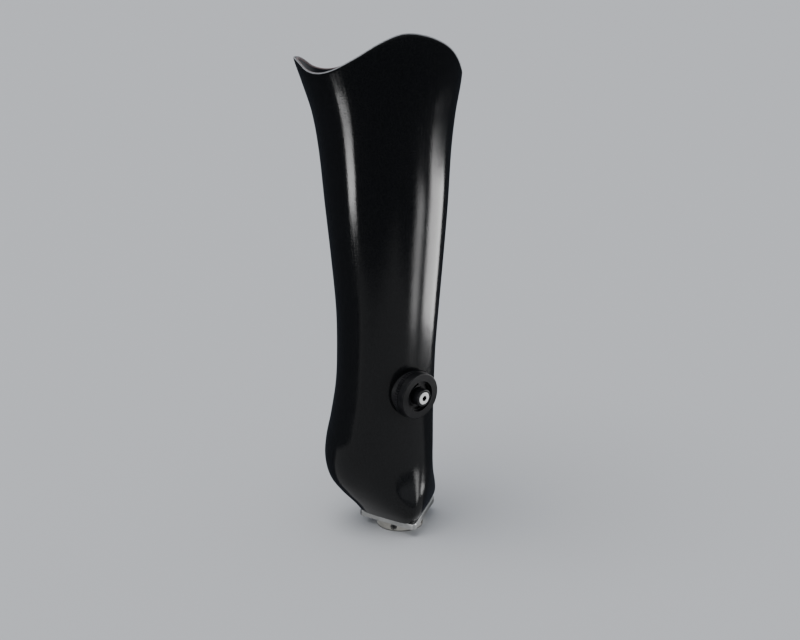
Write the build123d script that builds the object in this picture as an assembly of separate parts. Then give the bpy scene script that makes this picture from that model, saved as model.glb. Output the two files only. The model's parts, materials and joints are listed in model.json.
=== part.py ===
from build123d import *
from math import copysign, cos, pi, radians, sin, sqrt
import os

# Right below-knee prosthetic socket with a suction valve and a distal pyramid receiver.
# Millimetres. +Z up, +X anterior, +Y medial. The origin is the centre of the receiver's mouth,
# on the plane that the pyramid's base closes against.

# ---- laminates and core -------------------------------------------------------------------------
WALL_OUTER = 1.8            # outer laminate
WALL_INNER = 1.8            # inner socket laminate
BOND_GAP = 0.2              # resin line between parts that are bonded together
CUP_BOTTOM = 104.0          # lowest point of the inner socket
BLOCK_TOP = 118.0           # top of the core between the two laminates
PAD_TOP = 121.0             # top of the distal end pad
FIT = 0.05                  # radial clearance of screws and running fits

# ---- base hardware ------------------------------------------------------------------------------
TOE_OUT = 16.0              # the base is turned this far outwards, degrees
BASE_BOTTOM = 8.0           # underside of the attachment plate
BASE_TOP = 13.0             # its top, where the shell starts
FLOOR_THICK = 2.0           # laminate under the anchor plate
ANCHOR_THICK = 5.0
ANCHOR_CORNERS = [(17.5, -25.5), (17.5, 30.0), (-27.0, 15.5), (-27.0, -10.0)]    # along and across the base
ANCHOR_CORNER_R = 3.0
PLATE_CORNERS = [(22.5, -32.0), (22.5, 39.0), (-34.0, 21.0), (-34.0, -12.0)]
PLATE_CORNER_R = 4.0
PLATE_EDGE = 0.8
PLATE_SCREW_PLACES = [(14.0, -20.5), (14.0, 24.5), (-24.0, -7.0), (-24.0, 12.0)]
PLATE_SCREW_R = 2.0         # M4, countersunk
PLATE_SCREW_HEAD_R = 4.0
PLATE_SCREW_HEX = 2.5
THREAD_LENGTH = 4.0         # how far the screws reach into the anchor plate

RECEIVER_R = 20.5           # boss under the plate
RECEIVER_EDGE = 0.3
RECEIVER_HUB_R = 13.5       # part that passes up through the plate
RECEIVER_TOP = 22.0
BORE_R = 11.5               # room for the pyramid
BORE_TOP = 19.0
BORE_MOUTH = 1.5            # how much wider the bore opens at its mouth
BORE_MOUTH_DEPTH = 1.0
SET_SCREW_R = 3.0           # M6
SET_SCREW_Z = 4.2
SET_SCREW_LENGTH = 7.7
BOLT_R = 2.0                # M4
BOLT_HEAD_R = 3.5
BOLT_HEAD_LOW = 0.6
BOLT_HEAD_TOP = 4.6
BOLT_CIRCLE_R = 15.75
HEX_ACROSS = 3.0
HEX_DEPTH = 3.0
SET_SCREW_ANGLES = [-TOE_OUT + 90 * i for i in range(4)]
BOLT_ANGLES = [-TOE_OUT + 45 + 90 * i for i in range(4)]

# ---- valve: heights are along its axis, from the shell's surface --------------------------------
VALVE_X = 9.1
VALVE_Z = 132.0
VALVE_AZIMUTH = 42.0        # from straight lateral towards the front, degrees
VALVE_TILT = 5.0            # downwards, degrees
SEAT_R = 18.5
SEAT_TOP = 1.8
SEAT_EDGE = 0.5
SEAT_TUBE_R = 13.0
SEAT_BOTTOM = -9.0
SEAT_STEP = -0.5            # the tube starts this far under the flange's face
THREAD_R = 11.0

COLLAR_R = 21.0             # toothed collar at the back of the knob
COLLAR_TOP = 5.8
KNOB_TEETH = 54
TOOTH_DEPTH = 0.8
KNOB_R = 20.2
KNOB_BOTTOM = 2.2
KNOB_TOP = 12.0
KNOB_EDGE = 0.8
SPIGOT_BOTTOM = -3.4
POPPET_ROOF = -1.7
POPPET_RECESS_R = 5.0
STEM_HOLE_R = 2.6
CHAMBER_R = 9.6             # room for the button's flange and its spring, from height 0
VENT_HOLES = 6
VENT_HOLE_R = 0.7
VENT_HOLE_CIRCLE_R = 7.0

O_RING_R = 15.5
O_RING_SECTION_R = 1.0
GROOVE_HALF = 1.25
GROOVE_TOP = 3.9

COVER_R = 13.5              # the knob's front recess, and the slotted cover in it
COVER_BOTTOM = 7.2
COVER_THICK = 1.8
COVER_BORE_GAP = 0.3
SLOT_ANGLES = [10, 130, 250]
SLOT_INNER_R = 9.4
SLOT_OUTER_R = 12.2
SLOT_HALF_ANGLE = 39.0

HUB_R = 7.6                 # the button's black hub
HUB_TOP = 16.7
HUB_EDGE = 0.8
FLANGE_R = 9.0
FLANGE_BOTTOM = 6.0
FLANGE_TOP = 7.0
INSERT_R = 5.3              # the white ring in its top
INSERT_BOTTOM = 12.6
INSERT_TOP = 17.2
INSERT_EDGE = 0.5
INSERT_BORE_R = 2.3

STEM_R = 1.5
STEM_BORE_R = 0.7
STEM_BOTTOM = -4.4
NECK_R = 1.1                # groove for the clip
NECK_LOW = -4.1
NECK_TOP = -3.7
CLIP_R = 2.6
CLIP_MOUTH = 1.6
POPPET_R = 4.2
POPPET_LOW = -3.3
POPPET_GAP = 0.1            # under its roof, until suction closes it
FLAP_R = 8.7
FLAP_BORE_R = 4.0
FLAP_THICK = 0.5
SPRING_WIRE_R = 0.25
SPRING_COIL_R = 5.4
SPRING_TURNS = 3.5
SPRING_PLAY = 0.05

# ---- limb shape ---------------------------------------------------------------------------------
# (height, back, front, half width, narrowing of the front, share of the base's squarer shape)
STATIONS = [
    (13.0, -33.2, 22.5, 26.5, 0.34, 1.0),
    (22.0, -40.0, 27.0, 32.0, 0.34, 0.85),
    (34.0, -51.5, 29.0, 35.5, 0.34, 0.55),
    (48.0, -61.8, 29.2, 37.5, 0.34, 0.25),
    (64.0, -66.0, 29.0, 38.8, 0.34, 0.06),
    (82.0, -65.0, 29.0, 39.5, 0.34, 0.0),
    (104.0, -60.5, 29.0, 39.5, 0.34, 0.0),
    (134.0, -55.8, 29.6, 39.5, 0.34, 0.0),
    (165.0, -54.4, 30.7, 40.0, 0.34, 0.0),
    (200.0, -54.8, 33.3, 41.5, 0.33, 0.0),
    (245.0, -58.5, 36.9, 44.5, 0.31, 0.0),
    (290.0, -63.0, 40.2, 48.0, 0.28, 0.0),
    (335.0, -67.3, 42.6, 51.5, 0.25, 0.0),
    (365.0, -72.3, 45.8, 54.0, 0.23, 0.0),
    (390.0, -80.2, 50.0, 56.0, 0.21, 0.0),
    (408.0, -86.3, 51.5, 57.0, 0.2, 0.0),
    (455.0, -98.0, 52.0, 58.0, 0.2, 0.0),
]
SECTION_POINTS = 24
LEVELS = [13, 17, 22, 28, 34, 41, 48, 56, 64, 74] + [84 + 14 * i for i in range(27)]
BASE_SHIFT = 3.6            # the base outline's middle lies this far medially
BASE_TAPER = 0.36           # the base is wider in front and narrower behind by this share
BASE_SQUARE = 0.42          # 1 is an ellipse, smaller is squarer

# The inner socket closes in a rounded end: (height above its bottom, size of the outline there).
CUP_CURVE = [(0.0, 0.42), (1.6, 0.6), (5.0, 0.76), (10.0, 0.88), (17.0, 0.955), (26.0, 0.99), (34.0, 1.0)]
CUP_BLEND = 10.0            # no section is drawn this close above the rounded end

# Brim height, (x, z), on the lateral and the medial side, each drawn BRIM_SPREAD from the middle.
BRIM_SPREAD = 90.0
BRIM_LID = 520.0
BRIM_LATERAL = [(-112.0, 415.0), (-85.0, 410.5), (-75.0, 402.5), (-65.0, 401.0), (-52.0, 404.8),
                (-34.0, 414.3), (-15.0, 425.6), (2.0, 432.4), (18.0, 431.3), (34.0, 426.0), (42.0, 420.5),
                (47.5, 412.3), (52.0, 400.0), (70.0, 345.0)]
BRIM_MEDIAL = [(-112.0, 413.0), (-85.0, 408.0), (-73.0, 399.0), (-62.0, 395.5), (-50.0, 397.0),
               (-34.0, 404.0), (-14.0, 415.0), (5.0, 421.5), (21.0, 421.0), (36.0, 413.5), (46.0, 402.0),
               (54.0, 382.0), (70.0, 335.0)]


def limb_at(z):
    """A station's values at any height, on smooth curves through the stations."""
    z = min(max(z, STATIONS[0][0]), STATIONS[-1][0])
    i = max(k for k in range(len(STATIONS) - 1) if STATIONS[k][0] <= z)
    low, high = STATIONS[i], STATIONS[i + 1]
    before, after = STATIONS[max(i - 1, 0)], STATIONS[min(i + 2, len(STATIONS) - 1)]
    span = high[0] - low[0]
    f = (z - low[0]) / span
    values = []
    for k in range(1, 6):
        slope_low = (high[k] - before[k]) / (high[0] - before[0])
        slope_high = (after[k] - low[k]) / (after[0] - low[0])
        values.append(
            (2 * f**3 - 3 * f**2 + 1) * low[k]
            + (f**3 - 2 * f**2 + f) * span * slope_low
            + (3 * f**2 - 2 * f**3) * high[k]
            + (f**3 - f**2) * span * slope_high
        )
    return values


def power(value, exponent):
    return copysign(abs(value) ** exponent, value)


def outline(z, inset=0.0, scale=1.0):
    """Points round the shell's outer surface at a height, moved inwards by inset, then scaled."""
    back, front, half_width, narrowing, share = limb_at(z)
    middle, half_length = (back + front) / 2, (front - back) / 2
    turn = radians(-TOE_OUT)
    points = []
    for i in range(SECTION_POINTS):
        t = 2 * pi * i / SECTION_POINTS
        x = half_length * cos(t)
        y = half_width * sin(t) * (1 - narrowing * cos(t))
        along, across = power(cos(t), BASE_SQUARE), power(sin(t), BASE_SQUARE)
        u, v = half_length * along, half_width * across * (1 + BASE_TAPER * along)
        base_x, base_y = u * cos(turn) - v * sin(turn), u * sin(turn) + v * cos(turn)
        points.append((middle + x + share * (base_x - x), y + share * (base_y + BASE_SHIFT - y)))
    moved = []
    for i in range(SECTION_POINTS):
        ax, ay = points[i - 1]
        bx, by = points[(i + 1) % SECTION_POINTS]
        length = sqrt((bx - ax) ** 2 + (by - ay) ** 2)
        px, py = points[i]
        px, py = px - inset * (by - ay) / length, py + inset * (bx - ax) / length
        moved.append((middle + scale * (px - middle), scale * py))
    return moved


def section(z, inset=0.0, scale=1.0):
    points = [Vector(x, y, z) for x, y in outline(z, inset, scale)]
    steps = [i / SECTION_POINTS for i in range(SECTION_POINTS + 1)]
    return Wire([Edge.make_spline(points, periodic=True, parameters=steps)])


def above(z):
    return Pos(0, 0, z + 300) * Box(400, 400, 600)


def below(z):
    return Pos(0, 0, z - 300) * Box(400, 400, 600)


def limb(inset):
    return Solid.make_loft([section(z, inset) for z in LEVELS])


def cup(inset, bottom):
    rounded = [section(bottom + rise, inset, scale) for rise, scale in CUP_CURVE]
    straight = [section(z, inset) for z in LEVELS if z > bottom + CUP_CURVE[-1][0] + CUP_BLEND]
    return Solid.make_loft(rounded + straight)


def brim_face(points, y):
    edge = Spline(*[(x, y, z) for x, z in points])
    left, right = points[0], points[-1]
    corners = [(right[0], right[1]), (right[0], BRIM_LID), (left[0], BRIM_LID), (left[0], left[1])]
    lid = Polyline(*[(x, y, z) for x, z in corners])
    return Wire([edge] + lid.edges())


def brim_cutter():
    sides = [brim_face(BRIM_LATERAL, -BRIM_SPREAD), brim_face(BRIM_MEDIAL, BRIM_SPREAD)]
    return Solid.make_loft(sides, ruled=True)


def base_point(along, across):
    """A point given along the base's own heading and across it."""
    turn = radians(-TOE_OUT)
    return along * cos(turn) - across * sin(turn), along * sin(turn) + across * cos(turn)


def ring_of(angles, r):
    return [(r * cos(radians(a)), r * sin(radians(a))) for a in angles]


def cylinder(x, y, low, high, r):
    return Pos(x, y, (low + high) / 2) * Cylinder(r, high - low)


def disc(low, high, r, bore=0.0):
    """A round piece on the Z axis, with a hole through it if bore is given."""
    solid = cylinder(0, 0, low, high, r)
    if bore:
        solid -= cylinder(0, 0, low - 1, high + 1, bore)
    return solid


def top_edges(solid):
    return solid.edges().group_by(Axis.Z)[-1]


def side_y(x, z):
    """The lateral surface's y at x, at a height above the base's outline."""
    back, front, half_width, narrowing, _ = limb_at(z)
    c = (x - (back + front) / 2) / ((front - back) / 2)
    return -half_width * sqrt(1 - c * c) * (1 - narrowing * c)


# The valve's own frame: its z runs out along the axis, and 0 is at the shell's surface.
AZIMUTH, TILT = radians(VALVE_AZIMUTH), radians(VALVE_TILT)
AXIS = (sin(AZIMUTH) * cos(TILT), -cos(AZIMUTH) * cos(TILT), -sin(TILT))
ACROSS = (cos(AZIMUTH), sin(AZIMUTH), 0)
VALVE_ORIGIN = (VALVE_X, side_y(VALVE_X, VALVE_Z), VALVE_Z)
VALVE = Location(Plane(origin=VALVE_ORIGIN, x_dir=ACROSS, z_dir=AXIS))
VALVE_HOLE = VALVE * disc(-14, 6, SEAT_TUBE_R + FIT)


# ---- shells, pad and core -----------------------------------------------------------------------
def base_holes(low, high):
    holes = [cylinder(0, 0, low, high, RECEIVER_HUB_R + FIT)]
    holes += [cylinder(x, y, low, high, BOLT_R + FIT) for x, y in ring_of(BOLT_ANGLES, BOLT_CIRCLE_R)]
    for along, across in PLATE_SCREW_PLACES:
        holes.append(cylinder(*base_point(along, across), low, high, PLATE_SCREW_R + FIT))
    return holes


def make_outer_shell():
    floor_top = BASE_TOP + FLOOR_THICK
    shell = limb(0) - (limb(WALL_OUTER) & above(floor_top))
    for hole in base_holes(BASE_TOP - 1, floor_top + 1):
        shell -= hole
    return shell - VALVE_HOLE - brim_cutter()


def make_inner_socket():
    inset = WALL_OUTER + BOND_GAP
    socket = cup(inset, CUP_BOTTOM) - cup(inset + WALL_INNER, CUP_BOTTOM + WALL_INNER)
    return socket - VALVE_HOLE - brim_cutter()


def make_distal_end_pad():
    inset = WALL_OUTER + BOND_GAP + WALL_INNER + BOND_GAP
    return cup(inset, CUP_BOTTOM + WALL_INNER + BOND_GAP) & below(PAD_TOP)


def make_ankle_block():
    bottom = BASE_TOP + FLOOR_THICK + ANCHOR_THICK + BOND_GAP
    block = limb(WALL_OUTER + BOND_GAP) & above(bottom) & below(BLOCK_TOP)
    block -= cup(WALL_OUTER, CUP_BOTTOM - BOND_GAP)
    return block - disc(bottom - 1, RECEIVER_TOP + 1, RECEIVER_HUB_R + 1)


# ---- base hardware ------------------------------------------------------------------------------
def base_outline(places, corner_r):
    corners = [base_point(along, across) for along, across in places]
    face = make_face(Polyline(*corners, close=True))
    return fillet(face.vertices(), corner_r)


def make_attachment_plate():
    face = base_outline(PLATE_CORNERS, PLATE_CORNER_R)
    plate = Pos(0, 0, BASE_BOTTOM) * extrude(face, BASE_TOP - BASE_BOTTOM)
    plate = fillet(top_edges(plate), PLATE_EDGE)
    for hole in base_holes(BASE_BOTTOM - 1, BASE_TOP + 1):
        plate -= hole
    for along, across in PLATE_SCREW_PLACES:
        plate -= countersink(*base_point(along, across), FIT)
    return plate


def countersink(x, y, clearance):
    depth = PLATE_SCREW_HEAD_R - PLATE_SCREW_R
    head = Cone(PLATE_SCREW_HEAD_R + clearance, PLATE_SCREW_R + clearance, depth)
    return Pos(x, y, BASE_BOTTOM + depth / 2) * head


def make_anchor_plate():
    low = BASE_TOP + FLOOR_THICK
    face = base_outline(ANCHOR_CORNERS, ANCHOR_CORNER_R)
    plate = Pos(0, 0, low) * extrude(face, ANCHOR_THICK)
    for hole in base_holes(low - 1, low + ANCHOR_THICK + 1):
        plate -= hole
    return plate


def make_pyramid_receiver():
    body = disc(0, BASE_BOTTOM, RECEIVER_R)
    body = fillet(body.edges().group_by(Axis.Z)[0], RECEIVER_EDGE)
    body += disc(BASE_BOTTOM, RECEIVER_TOP, RECEIVER_HUB_R)
    body -= disc(-1, BORE_TOP, BORE_R)
    body -= Pos(0, 0, BORE_MOUTH_DEPTH / 2) * Cone(BORE_R + BORE_MOUTH, BORE_R, BORE_MOUTH_DEPTH)
    for angle in SET_SCREW_ANGLES:
        hole = Pos((BORE_R + RECEIVER_R) / 2, 0, SET_SCREW_Z) * Rot(0, 90, 0) * Cylinder(SET_SCREW_R, 12)
        body -= Rot(0, 0, angle) * hole
    for x, y in ring_of(BOLT_ANGLES, BOLT_CIRCLE_R):
        body -= cylinder(x, y, -1, BOLT_HEAD_TOP, BOLT_HEAD_R + FIT)
        body -= cylinder(x, y, BOLT_HEAD_TOP - 1, BASE_BOTTOM + 1, BOLT_R + FIT)
    return body


def hex_socket(across, depth):
    return extrude(RegularPolygon(across / sqrt(3), 6), depth)


def make_set_screws():
    screw = Cylinder(SET_SCREW_R - FIT, SET_SCREW_LENGTH)
    screw -= Pos(0, 0, SET_SCREW_LENGTH / 2 - HEX_DEPTH) * hex_socket(HEX_ACROSS, HEX_DEPTH + 1)
    screw = Pos(BORE_R + 0.1 + SET_SCREW_LENGTH / 2, 0, SET_SCREW_Z) * Rot(0, 90, 0) * screw
    return [Rot(0, 0, angle) * screw for angle in SET_SCREW_ANGLES]


def make_adapter_bolts():
    tip = BASE_TOP + FLOOR_THICK + THREAD_LENGTH
    bolts = []
    for x, y in ring_of(BOLT_ANGLES, BOLT_CIRCLE_R):
        bolt = cylinder(x, y, BOLT_HEAD_LOW, BOLT_HEAD_TOP, BOLT_HEAD_R)
        bolt += cylinder(x, y, BOLT_HEAD_TOP, tip, BOLT_R)
        bolts.append(bolt - Pos(x, y, BOLT_HEAD_LOW - 1) * hex_socket(HEX_ACROSS, HEX_DEPTH))
    return bolts


def make_plate_screws():
    head_top = BASE_BOTTOM + PLATE_SCREW_HEAD_R - PLATE_SCREW_R
    tip = BASE_TOP + FLOOR_THICK + THREAD_LENGTH
    screws = []
    for along, across in PLATE_SCREW_PLACES:
        x, y = base_point(along, across)
        screw = countersink(x, y, 0) + cylinder(x, y, head_top, tip, PLATE_SCREW_R)
        screws.append(screw - Pos(x, y, BASE_BOTTOM - 0.2) * hex_socket(PLATE_SCREW_HEX, 1.8))
    return screws


# ---- valve pieces, drawn in the valve's frame except for the seat --------------------------------
def make_valve_seat():
    seat = disc(SEAT_BOTTOM, SEAT_TOP, SEAT_R, THREAD_R)
    seat = chamfer(top_edges(seat).sort_by(SortBy.RADIUS)[-1], SEAT_EDGE)
    tube = disc(SEAT_BOTTOM, SEAT_STEP, SEAT_TUBE_R, THREAD_R)
    cavity = cup(WALL_OUTER + BOND_GAP + WALL_INNER, CUP_BOTTOM + WALL_INNER)
    return (VALVE * seat - limb(0)) + (VALVE * tube - cavity)


def collar_profile():
    corners = []
    for i in range(2 * KNOB_TEETH):
        r = COLLAR_R - TOOTH_DEPTH * (i % 2)
        corners.append((r * cos(pi * i / KNOB_TEETH), r * sin(pi * i / KNOB_TEETH)))
    return make_face(Polyline(*corners, close=True))


def make_valve_knob():
    knob = disc(KNOB_BOTTOM + 1, KNOB_TOP, KNOB_R)
    knob = fillet(top_edges(knob), KNOB_EDGE)
    knob += Pos(0, 0, KNOB_BOTTOM) * extrude(collar_profile(), COLLAR_TOP - KNOB_BOTTOM)
    knob += disc(SPIGOT_BOTTOM, KNOB_BOTTOM + 1, THREAD_R - FIT)
    knob -= disc(COVER_BOTTOM, KNOB_TOP + 1, COVER_R)
    knob -= disc(0, KNOB_TOP, CHAMBER_R)
    knob -= disc(SPIGOT_BOTTOM - 1, POPPET_ROOF, POPPET_RECESS_R)
    knob -= disc(SPIGOT_BOTTOM, 1, STEM_HOLE_R)
    knob -= disc(KNOB_BOTTOM - 1, GROOVE_TOP, O_RING_R + GROOVE_HALF, O_RING_R - GROOVE_HALF)
    for x, y in ring_of([360 / VENT_HOLES * i for i in range(VENT_HOLES)], VENT_HOLE_CIRCLE_R):
        knob -= cylinder(x, y, SPIGOT_BOTTOM - 1, 1, VENT_HOLE_R)
    return knob


def make_valve_o_ring():
    return Pos(0, 0, SEAT_TOP + O_RING_SECTION_R + 0.02) * Torus(O_RING_R, O_RING_SECTION_R)


def make_vent_cover():
    top = COVER_BOTTOM + COVER_THICK
    cover = disc(COVER_BOTTOM, top, COVER_R - FIT, HUB_R + COVER_BORE_GAP)
    for angle in SLOT_ANGLES:
        rim = ring_of([angle - SLOT_HALF_ANGLE, angle + SLOT_HALF_ANGLE], 2 * COVER_R)
        wedge = extrude(make_face(Polyline((0, 0), *rim, close=True)), KNOB_TOP)
        cover -= disc(COVER_BOTTOM - 1, top + 1, SLOT_OUTER_R, SLOT_INNER_R) & wedge
    return cover


def make_push_button():
    button = disc(FLANGE_BOTTOM, FLANGE_TOP, FLANGE_R) + disc(FLANGE_TOP, HUB_TOP, HUB_R)
    button = fillet(top_edges(button), HUB_EDGE)
    button -= disc(INSERT_BOTTOM, HUB_TOP + 1, INSERT_R + FIT)
    return button - disc(FLANGE_BOTTOM - 1, HUB_TOP, STEM_R)


def make_button_insert():
    insert = fillet(top_edges(disc(INSERT_BOTTOM, INSERT_TOP, INSERT_R)), INSERT_EDGE)
    return insert - disc(INSERT_BOTTOM - 1, INSERT_TOP + 1, INSERT_BORE_R)


def make_valve_stem():
    stem = disc(STEM_BOTTOM, INSERT_BOTTOM, STEM_R, STEM_BORE_R)
    return stem - disc(NECK_LOW, NECK_TOP, STEM_R + 1, NECK_R)


def make_poppet_seal():
    return disc(POPPET_LOW, POPPET_ROOF - POPPET_GAP, POPPET_R, STEM_R)


def make_stem_clip():
    clip = disc(NECK_LOW, NECK_TOP, CLIP_R, NECK_R)
    return clip - Pos(CLIP_R, 0, NECK_TOP) * Box(2 * CLIP_R, CLIP_MOUTH, 2)


def make_check_flap():
    return disc(0, FLAP_THICK, FLAP_R, FLAP_BORE_R)


def make_button_spring():
    low = FLAP_THICK + SPRING_WIRE_R + SPRING_PLAY
    length = FLANGE_BOTTOM - SPRING_WIRE_R - SPRING_PLAY - low
    path = Helix(pitch=length / SPRING_TURNS, height=length, radius=SPRING_COIL_R)
    start = Plane(origin=path @ 0, z_dir=path % 0)
    return Pos(0, 0, low) * sweep(start * Circle(SPRING_WIRE_R), path=path)


parts = {
    "outer_shell": make_outer_shell(),
    "inner_socket": make_inner_socket(),
    "distal_end_pad": make_distal_end_pad(),
    "ankle_block": make_ankle_block(),
    "anchor_plate": make_anchor_plate(),
    "attachment_plate": make_attachment_plate(),
    "pyramid_receiver": make_pyramid_receiver(),
    "set_screws": Compound(children=make_set_screws()),
    "adapter_bolts": Compound(children=make_adapter_bolts()),
    "plate_screws": Compound(children=make_plate_screws()),
    "valve_seat": make_valve_seat(),
    "valve_knob": VALVE * make_valve_knob(),
    "valve_o_ring": VALVE * make_valve_o_ring(),
    "vent_cover": VALVE * make_vent_cover(),
    "push_button": VALVE * make_push_button(),
    "button_insert": VALVE * make_button_insert(),
    "valve_stem": VALVE * make_valve_stem(),
    "poppet_seal": VALVE * make_poppet_seal(),
    "stem_clip": VALVE * make_stem_clip(),
    "check_flap": VALVE * make_check_flap(),
    "button_spring": VALVE * make_button_spring(),
}

print("valve origin", [round(v, 3) for v in VALVE_ORIGIN], "axis", [round(v, 5) for v in AXIS])
os.makedirs("parts", exist_ok=True)
for name, shape in parts.items():
    export_step(shape, f"parts/{name}.step")
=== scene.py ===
import json
import math

import bpy
import numpy as np
from mathutils import Matrix, Vector


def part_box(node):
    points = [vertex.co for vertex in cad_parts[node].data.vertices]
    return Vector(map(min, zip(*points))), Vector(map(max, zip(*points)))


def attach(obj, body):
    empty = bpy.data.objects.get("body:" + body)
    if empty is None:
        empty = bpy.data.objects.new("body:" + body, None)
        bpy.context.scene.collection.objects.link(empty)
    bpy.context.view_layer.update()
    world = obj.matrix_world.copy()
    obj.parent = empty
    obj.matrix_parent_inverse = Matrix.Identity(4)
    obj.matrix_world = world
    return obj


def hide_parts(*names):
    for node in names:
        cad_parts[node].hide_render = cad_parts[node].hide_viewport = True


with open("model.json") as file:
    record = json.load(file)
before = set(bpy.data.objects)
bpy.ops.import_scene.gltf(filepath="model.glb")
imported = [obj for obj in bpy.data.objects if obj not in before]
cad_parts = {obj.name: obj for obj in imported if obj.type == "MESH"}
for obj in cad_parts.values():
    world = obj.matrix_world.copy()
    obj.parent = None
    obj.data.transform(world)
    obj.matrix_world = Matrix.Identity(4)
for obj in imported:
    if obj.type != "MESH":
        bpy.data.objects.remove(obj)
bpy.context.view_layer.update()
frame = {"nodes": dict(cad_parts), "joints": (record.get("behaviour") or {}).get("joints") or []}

# ---- driving sizes, the same as the CAD's -------------------------------------------------------
WALL = 0.0018               # each laminate
BOND_GAP = 0.0002
TOE_OUT = math.radians(16.0)
BASE_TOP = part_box("outer_shell")[0].z
FLOOR = 0.002
CUP_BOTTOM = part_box("inner_socket")[0].z
PAD_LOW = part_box("distal_end_pad")[0].z
PAD_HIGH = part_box("distal_end_pad")[1].z
FLOOR_HOLE_R = 0.0182       # room for the receiver's hub and its bolts
PLATE_SCREWS = [(0.014, -0.0205), (0.014, 0.0245), (-0.024, -0.007), (-0.024, 0.012)]
PLATE_SCREW_HOLE_R = 0.00205
VALVE_HOLE_R = 0.01305
VALVE_HOLE_SPAN = (-0.014, 0.006)    # along the valve's axis, from the shell's surface
INSERT_BORE_R = 0.00233     # the white ring's bore, and a hair more: within it the colour is painted shade
BORE_FADE = 0.00005         # how quickly the bore's painted shade ends

# (height, back, front, half width, narrowing of the front, share of base shape)
STATIONS = [
    (0.013, -0.0332, 0.0225, 0.0265, 0.34, 1.0),
    (0.022, -0.040, 0.027, 0.032, 0.34, 0.85),
    (0.034, -0.0515, 0.029, 0.0355, 0.34, 0.55),
    (0.048, -0.0618, 0.0292, 0.0375, 0.34, 0.25),
    (0.064, -0.066, 0.029, 0.0388, 0.34, 0.06),
    (0.082, -0.065, 0.029, 0.0395, 0.34, 0.0),
    (0.104, -0.0605, 0.029, 0.0395, 0.34, 0.0),
    (0.134, -0.0558, 0.0296, 0.0395, 0.34, 0.0),
    (0.165, -0.0544, 0.0307, 0.040, 0.34, 0.0),
    (0.200, -0.0548, 0.0333, 0.0415, 0.33, 0.0),
    (0.245, -0.0585, 0.0369, 0.0445, 0.31, 0.0),
    (0.290, -0.063, 0.0402, 0.048, 0.28, 0.0),
    (0.335, -0.0673, 0.0426, 0.0515, 0.25, 0.0),
    (0.365, -0.0723, 0.0458, 0.054, 0.23, 0.0),
    (0.390, -0.0802, 0.050, 0.056, 0.21, 0.0),
    (0.408, -0.0863, 0.0515, 0.057, 0.2, 0.0),
    (0.455, -0.098, 0.052, 0.058, 0.2, 0.0),
]
OUTLINE_POINTS = 24
BASE_SHIFT = 0.0036
BASE_TAPER = 0.36
BASE_SQUARE = 0.42

# (x, height) of the trimmed brim on each side
BRIM_LATERAL = [(-0.112, 0.415), (-0.085, 0.4105), (-0.075, 0.4025), (-0.065, 0.401), (-0.052, 0.4048),
                (-0.034, 0.4143), (-0.015, 0.4256), (0.002, 0.4324), (0.018, 0.4313), (0.034, 0.426),
                (0.042, 0.4205), (0.0475, 0.4123), (0.052, 0.400), (0.070, 0.345)]
BRIM_MEDIAL = [(-0.112, 0.413), (-0.085, 0.408), (-0.073, 0.399), (-0.062, 0.3955), (-0.050, 0.397),
               (-0.034, 0.404), (-0.014, 0.415), (0.005, 0.4215), (0.021, 0.421), (0.036, 0.4135),
               (0.046, 0.402), (0.054, 0.382), (0.070, 0.335)]
BRIM_SPREAD = 0.090         # the two profiles lie this far each side of the middle

# how the inner socket closes: (height above its bottom, size of the outline there)
CUP_CURVE = [(0.0, 0.42), (0.0016, 0.6), (0.005, 0.76), (0.010, 0.88), (0.017, 0.955), (0.026, 0.99),
             (0.034, 1.0)]

COLUMNS = 192               # round the shells
SHELL_ROWS = 210
RIM_ROWS = 8
SHARE = np.arange(COLUMNS) / COLUMNS
WEAVE_ROUND = 0.270         # the weave's length round the shell, in metres of its pattern
WEAVE_CELL = 0.0016         # one tow of the braid
BRIM_GUESS = 0.41           # a height to start from
BRIM_STEPS = 12             # enough for the brim's height to settle

KNOB = next(j for j in frame["joints"] if j["name"] == "knob_turn")
VALVE_ORIGIN = Vector(KNOB["pos_m"])
VALVE_AXIS = Vector(KNOB["axis"]).normalized()


# ---- the limb's shape ---------------------------------------------------------------------------
def through(table, positions):
    """The table's other columns at an array of positions along its first, on a smooth curve."""
    table = np.asarray(table)
    at = np.clip(positions, table[0, 0], table[-1, 0])
    i = np.clip(np.searchsorted(table[:, 0], at, side="right") - 1, 0, len(table) - 2)
    before, low, high = table[np.maximum(i - 1, 0)], table[i], table[i + 1]
    after = table[np.minimum(i + 2, len(table) - 1)]
    span = high[..., :1] - low[..., :1]
    f = (at[..., None] - low[..., :1]) / span
    slope_low = (high - before) / (high[..., :1] - before[..., :1])
    slope_high = (after - low) / (after[..., :1] - low[..., :1])
    value = ((2 * f**3 - 3 * f**2 + 1) * low + (f**3 - 2 * f**2 + f) * span * slope_low
             + (3 * f**2 - 2 * f**3) * high + (f**3 - f**2) * span * slope_high)
    return value[..., 1:]


def spline_slopes(n):
    """The matrix that turns n points of a closed smooth curve into its slopes at them."""
    steps = np.arange(n)
    solve = 4 * np.eye(n)
    solve[steps, (steps + 1) % n] = 1
    solve[steps, (steps - 1) % n] = 1
    reach = np.zeros((n, n))
    reach[steps, (steps + 1) % n] = 3
    reach[steps, (steps - 1) % n] = -3
    return np.linalg.solve(solve, reach)


SLOPES = spline_slopes(OUTLINE_POINTS)


def power(values, exponent):
    return np.sign(values) * np.abs(values) ** exponent


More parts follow.
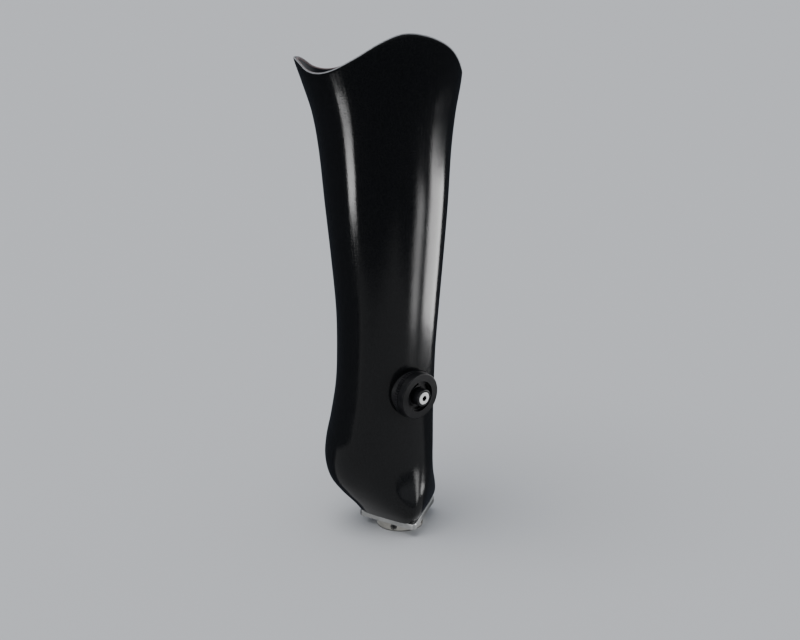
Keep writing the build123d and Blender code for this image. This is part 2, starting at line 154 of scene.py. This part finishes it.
def limb(heights, inset=0.0, scale=1.0):
    """Points of the limb's shape, one per height. The last axis of heights goes round it."""
    stations = through(STATIONS, heights)[..., None, :]
    back, front, half_width, narrowing, share = np.moveaxis(stations, -1, 0)
    middle, half_length = (back + front) / 2, (front - back) / 2
    t = np.arange(OUTLINE_POINTS) * 2 * math.pi / OUTLINE_POINTS
    x = half_length * np.cos(t)
    y = half_width * np.sin(t) * (1 - narrowing * np.cos(t))
    along, across = power(np.cos(t).round(12), BASE_SQUARE), power(np.sin(t).round(12), BASE_SQUARE)
    u, v = half_length * along, half_width * across * (1 + BASE_TAPER * along)
    base_x = u * math.cos(TOE_OUT) + v * math.sin(TOE_OUT)
    base_y = v * math.cos(TOE_OUT) - u * math.sin(TOE_OUT)
    points = np.stack([x + share * (base_x - x), y + share * (base_y + BASE_SHIFT - y)], -1)
    edge = np.roll(points, -1, -2) - np.roll(points, 1, -2)
    edge /= np.linalg.norm(edge, axis=-1, keepdims=True)
    points = points + inset * np.stack([-edge[..., 1], edge[..., 0]], -1)
    points = points * np.asarray(scale)[..., None, None]
    slopes = np.einsum("ij,...jk->...ik", SLOPES, points)
    at = np.broadcast_to(SHARE * OUTLINE_POINTS, heights.shape)
    i = at.astype(int)
    f = (at - i)[..., None]
    j = (i + 1) % OUTLINE_POINTS

    def pick(values, index):
        return np.take_along_axis(values, index[..., None, None].repeat(2, -1), -2)[..., 0, :]

    flat = ((2 * f**3 - 3 * f**2 + 1) * pick(points, i) + (f**3 - 2 * f**2 + f) * pick(slopes, i)
            + (3 * f**2 - 2 * f**3) * pick(points, j) + (f**3 - f**2) * pick(slopes, j))
    return np.concatenate([flat[..., :1] + middle, flat[..., 1:], heights[..., None]], -1)


def brim(inset):
    """The trimmed height of each column of a surface with that inset."""
    heights = np.full(COLUMNS, BRIM_GUESS)
    for _ in range(BRIM_STEPS):
        x, y, _ = limb(heights, inset).T
        lateral, medial = through(BRIM_LATERAL, x)[:, 0], through(BRIM_MEDIAL, x)[:, 0]
        heights = lateral + (medial - lateral) * (y + BRIM_SPREAD) / (2 * BRIM_SPREAD)
    return heights


def rim(outside, inside):
    """Rows of a half round edge from one top row over to the other."""
    middle = (outside + inside) / 2
    r = np.linalg.norm(outside - inside, axis=-1, keepdims=True) / 2
    rows = []
    for k in range(1, RIM_ROWS):
        turn = math.pi * k / RIM_ROWS
        rows.append(middle + (outside - middle) * math.cos(turn) + r * math.sin(turn) * np.array([0, 0, 1.0]))
    return rows


# ---- meshes -------------------------------------------------------------------------------------
def add_object(name, mesh):
    obj = bpy.data.objects.new(name, mesh)
    bpy.context.scene.collection.objects.link(obj)
    return obj


def skin(name, rows, row_slots, materials, ends="capped", sharp=35):
    """A closed mesh of rows of points, COLUMNS round. Its ends are capped, or joined to each other."""
    rows = np.asarray(rows)
    count = len(rows)
    vertices = rows.reshape(-1, 3)
    r = np.arange(count if ends == "joined" else count - 1)[:, None]
    c = np.arange(COLUMNS)[None, :]
    over, up = (c + 1) % COLUMNS, (r + 1) % count
    this_row, next_row = r * COLUMNS, up * COLUMNS
    quads = np.stack([this_row + c, this_row + over, next_row + over, next_row + c], -1).reshape(-1, 4)
    faces = quads.tolist()
    slots = np.repeat(row_slots[:len(r)], COLUMNS).tolist()
    if ends == "capped":
        centres = [rows[0].mean(0), rows[-1].mean(0)]
        vertices = np.concatenate([vertices, centres])
        first, last = count * COLUMNS, count * COLUMNS + 1
        top = (count - 1) * COLUMNS
        for k in range(COLUMNS):
            n = (k + 1) % COLUMNS
            faces.append([n, k, first])
            faces.append([top + k, top + n, last])
            slots += [row_slots[0], row_slots[-1]]
    mesh = bpy.data.meshes.new(name)
    mesh.from_pydata(vertices.tolist(), [], faces)
    layer = mesh.uv_layers.new(name="weave")
    corners = np.empty(len(mesh.loops), int)
    mesh.loops.foreach_get("vertex_index", corners)
    column = corners % COLUMNS
    uv = np.stack([column / COLUMNS, vertices[corners, 2]], -1)
    wrap = np.zeros(len(corners), bool)
    wrap[:len(quads) * 4] = np.tile([False, True, True, False], len(quads)) & (column[:len(quads) * 4] == 0)
    uv[wrap, 0] = 1.0
    uv[:, 0] *= WEAVE_ROUND
    layer.data.foreach_set("uv", uv.ravel())
    for m in materials:
        mesh.materials.append(m)
    mesh.polygons.foreach_set("material_index", slots)
    mesh.polygons.foreach_set("use_smooth", [True] * len(mesh.polygons))
    mesh.set_sharp_from_angle(angle=math.radians(sharp))
    mesh.update()
    return add_object(name, mesh)


def rod(place, r, low, high, sides=96):
    """The points and faces of a cylinder along the Z axis of place."""
    turns = [2 * math.pi * k / sides for k in range(sides)]
    ring = [(r * math.cos(turn), r * math.sin(turn)) for turn in turns]
    points = [place @ Vector((x, y, z)) for z in (low, high) for x, y in ring]
    faces = [(k, (k + 1) % sides, sides + (k + 1) % sides, sides + k) for k in range(sides)]
    faces += [tuple(reversed(range(sides))), tuple(range(sides, 2 * sides))]
    return points, faces


def cut(obj, rods):
    """Takes the rods out of a mesh."""
    points, faces = [], []
    for more, their_faces in rods:
        faces += [tuple(len(points) + i for i in face) for face in their_faces]
        points += more
    tool_mesh = bpy.data.meshes.new("cutter")
    tool_mesh.from_pydata(points, [], faces)
    tool = add_object("cutter", tool_mesh)
    boolean = obj.modifiers.new("holes", "BOOLEAN")
    boolean.solver = "EXACT"
    boolean.operation = "DIFFERENCE"
    boolean.object = tool
    seen = obj.evaluated_get(bpy.context.evaluated_depsgraph_get())
    mesh = bpy.data.meshes.new_from_object(seen)
    obj.modifiers.clear()
    obj.data = mesh
    mesh.name = obj.name
    bpy.data.objects.remove(tool)


def valve_rod():
    """What the valve's hole takes out of a laminate."""
    across = Vector((-VALVE_AXIS.y, VALVE_AXIS.x, 0)).normalized()
    up = VALVE_AXIS.cross(across)
    place = Matrix.Translation(VALVE_ORIGIN) @ Matrix((across, up, VALVE_AXIS)).transposed().to_4x4()
    return rod(place, VALVE_HOLE_R, *VALVE_HOLE_SPAN)


# ---- materials ----------------------------------------------------------------------------------
def add(tree, kind, inputs=(), **settings):
    """A node. An input is a value, or the socket that feeds it."""
    node = tree.nodes.new(kind)
    for key, value in settings.items():
        setattr(node, key, value)
    for key, value in dict(inputs).items():
        if isinstance(value, bpy.types.NodeSocket):
            tree.links.new(value, node.inputs[key])
        else:
            node.inputs[key].default_value = value
    return node


def blank(name, **values):
    """A material, its tree and its shader, with the values that are the same all over set on the shader."""
    m = bpy.data.materials.new(name)
    m.use_nodes = True
    shader = m.node_tree.nodes["Principled BSDF"]
    for key, value in values.items():
        shader.inputs[key.replace("_", " ")].default_value = value
    return m, m.node_tree, shader


def place_of(tree, scale=(1, 1, 1), turn=0.0, uv=None):
    """The place on the piece, which moves with it, or its place in a UV map."""
    if uv:
        where = add(tree, "ShaderNodeUVMap", uv_map=uv).outputs["UV"]
    else:
        where = add(tree, "ShaderNodeTexCoord").outputs["Object"]
    mapping = add(tree, "ShaderNodeMapping", {"Vector": where, "Scale": scale, "Rotation": (0, 0, turn)})
    return mapping.outputs["Vector"]


def noise(tree, where, scale, detail=4.0, roughness=0.55):
    inputs = {"Vector": where, "Scale": scale, "Detail": detail, "Roughness": roughness}
    return add(tree, "ShaderNodeTexNoise", inputs).outputs["Fac"]


def ramp(tree, value, low, high, start=0.3, end=0.7):
    """value from start to end becomes low to high."""
    inputs = {"Value": value, "From Min": start, "From Max": end, "To Min": low, "To Max": high}
    return add(tree, "ShaderNodeMapRange", inputs).outputs["Result"]


def blend(tree, factor, a, b):
    """Colour a where factor is 0, and b where it is 1."""
    node = add(tree, "ShaderNodeMix", data_type="RGBA")
    tree.links.new(factor, node.inputs["Factor"])
    for socket, value in ((node.inputs[6], a), (node.inputs[7], b)):
        if isinstance(value, bpy.types.NodeSocket):
            tree.links.new(value, socket)
        else:
            socket.default_value = (*value, 1)
    return node.outputs[2]


def math_node(tree, operation, a, b):
    return add(tree, "ShaderNodeMath", {0: a, 1: b}, operation=operation).outputs[0]


def weighted(tree, a, share_a, b, share_b):
    """The sum of two values, each times its share."""
    parts = [math_node(tree, "MULTIPLY", value, share) for value, share in ((a, share_a), (b, share_b))]
    return math_node(tree, "ADD", *parts)


def bump(tree, shader, height, strength, distance):
    node = add(tree, "ShaderNodeBump", {"Height": height, "Strength": strength, "Distance": distance})
    tree.links.new(node.outputs["Normal"], shader.inputs["Normal"])


def woven(tree):
    """(which way the tow lies, the fibres' height): a braid at 45 degrees."""
    turned = place_of(tree, (1 / WEAVE_CELL, 1 / WEAVE_CELL, 1), math.radians(45), "weave")
    squares = {"Vector": turned, "Scale": 1.0, "Color1": (1, 1, 1, 1), "Color2": (0, 0, 0, 1)}
    checks = add(tree, "ShaderNodeTexChecker", squares).outputs["Fac"]
    bands = {"Vector": turned, "Scale": 1.6, "Distortion": 0.6, "Detail": 2.0}
    fibres = []
    for direction in ("X", "Y"):
        wave = add(tree, "ShaderNodeTexWave", bands, wave_type="BANDS", bands_direction=direction)
        fibres.append(wave.outputs["Fac"])
    mixed = add(tree, "ShaderNodeMix", {0: checks, 2: fibres[0], 3: fibres[1]}, data_type="FLOAT")
    return checks, mixed.outputs[0]


def laminate(name, dark, light, roughness, specular, peel):
    """Resin over a dark braid: the fibres only just show, and most in the highlights."""
    m, tree, shader = blank(name, Specular_IOR_Level=specular)
    checks, fibres = woven(tree)
    where = place_of(tree)
    grain = noise(tree, where, 900, 3.0)
    patches = noise(tree, where, 14, 2.0)
    tint = math_node(tree, "MULTIPLY", fibres, ramp(tree, grain, 0.3, 1.0))
    tree.links.new(blend(tree, tint, dark, light), shader.inputs["Base Color"])
    rough = math_node(tree, "ADD", ramp(tree, patches, roughness * 0.75, roughness * 1.25),
                      math_node(tree, "MULTIPLY", ramp(tree, grain, 0.0, 0.10), checks))
    tree.links.new(rough, shader.inputs["Roughness"])
    wavy = math_node(tree, "MULTIPLY", noise(tree, where, 42, 2.0), peel)
    fine = weighted(tree, fibres, 0.003, grain, 0.035)
    bump(tree, shader, math_node(tree, "ADD", wavy, fine), 1.0, 0.001)
    return m


def cut_laminate(name, dark, light):
    """The trimmed edge: sanded layers of fibre in resin."""
    m, tree, shader = blank(name, Specular_IOR_Level=0.35)
    where = place_of(tree)
    layers = noise(tree, place_of(tree, (1, 1, 9)), 420, 4.0, 0.7)
    tree.links.new(blend(tree, ramp(tree, layers, 0, 1), dark, light), shader.inputs["Base Color"])
    tree.links.new(ramp(tree, noise(tree, where, 700), 0.42, 0.62), shader.inputs["Roughness"])
    bump(tree, shader, layers, 0.35, 0.0003)
    return m


def metal(name, dark, light, roughness, stretch, scale, depth=0.00004):
    """Metal with the marks of its machining, drawn out along one axis by stretch."""
    m, tree, shader = blank(name, Metallic=1.0)
    marks = noise(tree, place_of(tree, stretch), scale, 5.0, 0.6)
    patches = noise(tree, place_of(tree), 60, 3.0)
    mixed = weighted(tree, marks, 0.6, patches, 0.4)
    tree.links.new(blend(tree, ramp(tree, mixed, 0, 1, 0.35, 0.65), dark, light), shader.inputs["Base Color"])
    tree.links.new(ramp(tree, mixed, roughness * 0.75, roughness * 1.3), shader.inputs["Roughness"])
    bump(tree, shader, marks, 0.5, depth)
    return m


def moulded(name, dark, light, roughness, specular=0.4, grain=1500, depth=0.00006):
    """Moulded plastic or rubber: fine grain, slight patches of wear."""
    m, tree, shader = blank(name, Specular_IOR_Level=specular)
    where = place_of(tree)
    fine = noise(tree, where, grain, 2.0)
    patches = noise(tree, where, 90, 4.0)
    tree.links.new(blend(tree, ramp(tree, patches, 0, 1), dark, light), shader.inputs["Base Color"])
    mixed = weighted(tree, fine, 0.5, patches, 0.5)
    tree.links.new(ramp(tree, mixed, roughness * 0.8, roughness * 1.2), shader.inputs["Roughness"])
    bump(tree, shader, fine, 0.4, depth)
    return m


def foam(name, dark, light, cell, depth):
    m, tree, shader = blank(name, Specular_IOR_Level=0.2)
    where = place_of(tree)
    cells = add(tree, "ShaderNodeTexVoronoi", {"Vector": where, "Scale": cell}).outputs["Distance"]
    patches = noise(tree, where, 50, 3.0)
    mixed = math_node(tree, "MULTIPLY", cells, ramp(tree, patches, 0.6, 1.2))
    tree.links.new(blend(tree, ramp(tree, mixed, 0, 1, 0.1, 0.7), light, dark), shader.inputs["Base Color"])
    tree.links.new(ramp(tree, patches, 0.75, 0.95), shader.inputs["Roughness"])
    bump(tree, shader, cells, 0.6, depth)
    return m


def paint_bore_shade(m, radius, colour):
    """Colour what lies within radius of the valve's axis dark: painted shade on the inside of a ring's bore.
    """
    tree = m.node_tree
    base = tree.nodes["Principled BSDF"].inputs["Base Color"]
    outside = base.links[0].from_socket
    where = add(tree, "ShaderNodeTexCoord").outputs["Object"]
    offset = add(tree, "ShaderNodeVectorMath", {0: where, 1: VALVE_ORIGIN}, operation="SUBTRACT")
    side = add(tree, "ShaderNodeVectorMath", {0: offset.outputs[0], 1: VALVE_AXIS}, operation="CROSS_PRODUCT")
    from_axis = add(tree, "ShaderNodeVectorMath", {0: side.outputs[0]}, operation="LENGTH").outputs["Value"]
    inside = ramp(tree, from_axis, 1, 0, radius, radius + BORE_FADE)
    tree.links.new(blend(tree, inside, outside, colour), base)


BLACK_LAMINATE = laminate("black_laminate", (0.0022, 0.0023, 0.0026), (0.011, 0.0115, 0.0125),
                          roughness=0.09, specular=0.28, peel=0.10)
INNER_LAMINATE = laminate("inner_laminate", (0.004, 0.005, 0.008), (0.014, 0.016, 0.024),
                          roughness=0.32, specular=0.25, peel=0.05)
OUTER_EDGE = cut_laminate("outer_edge", (0.09, 0.092, 0.098), (0.38, 0.385, 0.40))
INNER_EDGE = cut_laminate("inner_edge", (0.07, 0.055, 0.056), (0.30, 0.22, 0.22))
PAD_FOAM = foam("pad_foam", (0.30, 0.26, 0.21), (0.52, 0.47, 0.40), 900, 0.0003)
CORE_FOAM = foam("core_foam", (0.42, 0.33, 0.16), (0.66, 0.55, 0.32), 700, 0.0002)
ALUMINIUM = metal("aluminium", (0.30, 0.305, 0.30), (0.50, 0.505, 0.50), 0.36, (1, 1, 14), 260)
RECEIVER_STEEL = metal("receiver_steel", (0.30, 0.295, 0.27), (0.47, 0.46, 0.43), 0.34, (1, 1, 10), 220)
SCREW_STEEL = metal("screw_steel", (0.05, 0.05, 0.05), (0.16, 0.16, 0.165), 0.28, (6, 6, 1), 500)
STEM_STEEL = metal("stem_steel", (0.02, 0.02, 0.02), (0.05, 0.05, 0.05), 0.4, (6, 6, 1), 500)
BRIGHT_STEEL = metal("bright_steel", (0.42, 0.42, 0.43), (0.62, 0.62, 0.63), 0.2, (6, 6, 1), 500)
BLACK_PLASTIC = moulded("black_plastic", (0.0030, 0.0032, 0.0040), (0.0066, 0.0066, 0.0078), 0.40, 0.17)
SEAT_PLASTIC = moulded("seat_plastic", (0.004, 0.004, 0.005), (0.008, 0.008, 0.0095), 0.5)
WHITE_PLASTIC = moulded("white_plastic", (0.50, 0.50, 0.495), (0.62, 0.62, 0.61), 0.35, 0.5, 1200, 0.00003)
RUBBER = moulded("rubber", (0.010, 0.010, 0.010), (0.022, 0.022, 0.022), 0.7, 0.25)
# painted shade: the white insert's bore is coloured near-black, as if in shadow
paint_bore_shade(WHITE_PLASTIC, INSERT_BORE_R, (0.004, 0.004, 0.004))

CAD_LOOKS = {
    "ankle_block": CORE_FOAM,
    "anchor_plate": BRIGHT_STEEL,
    "attachment_plate": ALUMINIUM,
    "pyramid_receiver": RECEIVER_STEEL,
    "set_screws": SCREW_STEEL,
    "adapter_bolts": SCREW_STEEL,
    "plate_screws": BRIGHT_STEEL,
    "valve_seat": SEAT_PLASTIC,
    "valve_knob": BLACK_PLASTIC,
    "valve_o_ring": RUBBER,
    "vent_cover": BLACK_PLASTIC,
    "push_button": BLACK_PLASTIC,
    "button_insert": WHITE_PLASTIC,
    "valve_stem": STEM_STEEL,
    "poppet_seal": RUBBER,
    "stem_clip": BRIGHT_STEEL,
    "check_flap": RUBBER,
    "button_spring": BRIGHT_STEEL,
}
for node, look in CAD_LOOKS.items():
    mesh = frame["nodes"][node].data
    mesh.materials.clear()
    mesh.materials.append(look)

# ---- outer shell --------------------------------------------------------------------------------
EDGE_ROWS = np.linspace(0, 1, SHELL_ROWS)[:, None]


def wall_rows(inset, low, top):
    return limb(low + (top - low) * EDGE_ROWS, inset)


def floor_ring(radius, z):
    base = limb(np.full(COLUMNS, BASE_TOP))[:, :2]
    direction = base / np.linalg.norm(base, axis=1, keepdims=True)
    return np.concatenate([direction * radius, np.full((COLUMNS, 1), z)], 1)


def make_shell():
    outside = wall_rows(0.0, BASE_TOP, brim(0.0) - WALL / 2)
    inside = wall_rows(WALL, BASE_TOP + FLOOR, brim(WALL) - WALL / 2)[::-1]
    edge = rim(outside[-1], inside[0])
    hole = [floor_ring(FLOOR_HOLE_R, z) for z in (BASE_TOP + FLOOR, BASE_TOP)]
    rows = [*outside, *edge, *inside, *hole]
    slots = np.zeros(len(rows), int)
    slots[len(outside) - 1:len(outside) + len(edge)] = 1
    shell = skin("laminated_shell", rows, slots, [BLACK_LAMINATE, OUTER_EDGE], "joined")
    turned = Matrix.Rotation(-TOE_OUT, 4, "Z")
    rods = [valve_rod()]
    for along, across in PLATE_SCREWS:
        place = turned @ Matrix.Translation((along, across, 0))
        rods.append(rod(place, PLATE_SCREW_HOLE_R, BASE_TOP - 0.002, BASE_TOP + FLOOR + 0.001, 32))
    cut(shell, rods)
    return shell


shell = make_shell()
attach(shell, "socket")
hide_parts("outer_shell")


# ---- inner socket and its end pad ---------------------------------------------------------------
CUP_ROWS = 26
PAD_SIDE_ROWS = 22
PAD_ROLL_ROWS = 8
PAD_TOP_ROWS = 16
PAD_ROLL = 0.0035           # the rounding of the pad's upper edge
PAD_DISH = 0.0040           # how deep its top is dished
PAD_SHRINK = 0.992          # keeps its side off the inner socket
PAD_LIFT = 0.0003           # keeps its bottom off it
PAD_DROP = 0.0002           # keeps its top within its own box


def cup_rows(inset, bottom, top):
    """Rows from the closed rounded end up to each column's top."""
    rise = CUP_CURVE[-1][0] * (np.arange(CUP_ROWS) / CUP_ROWS)[:, None] ** 2 * np.ones(COLUMNS)
    rounded = limb(bottom + rise, inset, through(CUP_CURVE, rise)[..., 0])
    straight = limb(bottom + CUP_CURVE[-1][0] + (top - bottom - CUP_CURVE[-1][0]) * EDGE_ROWS, inset)
    return np.concatenate([rounded, straight])


def make_inner():
    inset = WALL + BOND_GAP
    outside = cup_rows(inset, CUP_BOTTOM, brim(inset) - WALL / 2)
    inside = cup_rows(inset + WALL, CUP_BOTTOM + WALL, brim(inset + WALL) - WALL / 2)[::-1]
    edge = rim(outside[-1], inside[0])
    rows = [*outside, *edge, *inside]
    slots = np.zeros(len(rows), int)
    slots[len(outside) - 1:len(outside) + len(edge)] = 1
    inner = skin("socket_liner", rows, slots, [INNER_LAMINATE, INNER_EDGE])
    cut(inner, [valve_rod()])
    return inner


inner = make_inner()
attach(inner, "socket")
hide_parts("inner_socket")


def make_pad():
    """A soft pad that fills the rounded end: rolled round its edge, and dished on top."""
    inset = 2 * WALL + 2 * BOND_GAP
    bottom, top = PAD_LOW + PAD_LIFT, PAD_HIGH - PAD_DROP
    depth = top - PAD_ROLL - bottom
    rise = depth * (np.arange(PAD_SIDE_ROWS) / (PAD_SIDE_ROWS - 1))[:, None] ** 1.6 * np.ones(COLUMNS)
    scale = through(CUP_CURVE, rise)[..., 0] * PAD_SHRINK
    rows = list(limb(bottom + rise, inset, scale))
    widest = rows[-1]
    middle = widest.mean(0)
    reach = np.linalg.norm(widest[:, :2] - middle[:2], axis=1)[:, None]
    for k in range(1, PAD_ROLL_ROWS + 1):
        turn = math.pi / 2 * k / PAD_ROLL_ROWS
        row = widest + (middle - widest) * (PAD_ROLL * (1 - math.cos(turn)) / reach)
        row[:, 2] = top - PAD_ROLL + PAD_ROLL * math.sin(turn)
        rows.append(row)
    crest = rows[-1]
    for share in np.linspace(0.94, 0.06, PAD_TOP_ROWS):
        row = middle + (crest - middle) * share
        row[:, 2] = top - PAD_DISH * (0.5 + 0.5 * math.cos(math.pi * share ** 1.3))
        rows.append(row)
    return skin("end_pad", rows, np.zeros(len(rows), int), [PAD_FOAM], sharp=60)


pad = make_pad()
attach(pad, "socket")
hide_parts("distal_end_pad")

# ---- floor, light and camera --------------------------------------------------------------------
FLOOR_HALF = 60             # far enough for its edge to be out of view from above
floor_mesh = bpy.data.meshes.new("floor")
floor_corners = [(-FLOOR_HALF, -FLOOR_HALF, 0), (FLOOR_HALF, -FLOOR_HALF, 0),
                 (FLOOR_HALF, FLOOR_HALF, 0), (-FLOOR_HALF, FLOOR_HALF, 0)]
floor_mesh.from_pydata(floor_corners, [], [(0, 1, 2, 3)])
floor = add_object("floor", floor_mesh)
floor_look = blank("pale_floor", Base_Color=(0.60, 0.61, 0.63, 1), Roughness=0.9)[0]
floor_mesh.materials.append(floor_look)
floor.visible_glossy = False

# a pale room above, and a dark one below for the glossy walls to mirror
world = bpy.data.worlds.new("studio")
bpy.context.scene.world = world
world.use_nodes = True
sky = world.node_tree
direction = add(sky, "ShaderNodeSeparateXYZ", {"Vector": add(sky, "ShaderNodeTexCoord").outputs["Generated"]})
above = ramp(sky, direction.outputs["Z"], 0, 1, 0.0, 0.08)
room = blend(sky, above, (0.03, 0.035, 0.045), (0.46, 0.48, 0.51))
sky.links.new(room, sky.nodes["Background"].inputs["Color"])

SHINY = bpy.data.collections.new("shiny_pieces")
for piece in (*frame["nodes"].values(), shell, inner, pad):
    SHINY.objects.link(piece)
METAL = bpy.data.collections.new("metal_pieces")
for node in ("attachment_plate", "pyramid_receiver", "set_screws", "adapter_bolts", "plate_screws"):
    METAL.objects.link(frame["nodes"][node])


def panel(name, azimuth, distance, low, high, width, watts, lit):
    """A soft upright light that lights one collection. Azimuth 0 is the camera's side, 90 is +X."""
    light = bpy.data.lights.new(name, "AREA")
    light.shape = "RECTANGLE"
    light.size, light.size_y, light.energy = width, high - low, watts
    obj = add_object(name, light)
    turn = math.radians(azimuth)
    obj.location = (distance * math.sin(turn), -distance * math.cos(turn), (low + high) / 2)
    towards = Vector((-obj.location.x, -obj.location.y, 0))
    obj.rotation_euler = towards.to_track_quat("-Z", "Y").to_euler()
    obj.visible_camera = False
    obj.light_linking.receiver_collection = lit


panel("left_window", -46, 0.52, 0.132, 0.214, 0.16, 0.85, SHINY)
panel("left_fade", -40, 0.50, 0.0, 0.125, 0.10, 0.010, SHINY)
panel("right_window", 99, 0.45, 0.022, 0.225, 0.24, 2.1, SHINY)
panel("right_pane", 71, 0.45, 0.022, 0.190, 0.07, 0.24, SHINY)
panel("low_card", -10, 0.60, 0.0, 0.20, 0.60, 2.0, METAL)

glow = bpy.data.lights.new("floor_glow", "AREA")
glow.shape = "RECTANGLE"
glow.size, glow.size_y, glow.energy = 0.9, 0.6, 0.7
glow_object = add_object("floor_glow", glow)
glow_object.location = (0.10, -0.30, 0.001)
glow_object.rotation_euler = (math.radians(180), 0, 0)
glow_object.visible_camera = False
glow_object.light_linking.receiver_collection = SHINY

sun = bpy.data.lights.new("sky", "SUN")
sun.energy, sun.angle = 1.9, math.radians(50)
sun_object = add_object("sky", sun)
sun_object.rotation_euler = (math.radians(12), math.radians(-18), 0)

CAMERA_PLACE = (0, -1.050, 0.475)
CAMERA_DOWN = 15.3          # degrees below level
camera = bpy.data.cameras.new("camera")
camera.lens = 57.1
camera_object = add_object("camera", camera)
camera_object.location = CAMERA_PLACE
camera_object.rotation_euler = (math.radians(90 - CAMERA_DOWN), 0, 0)
bpy.context.scene.camera = camera_object
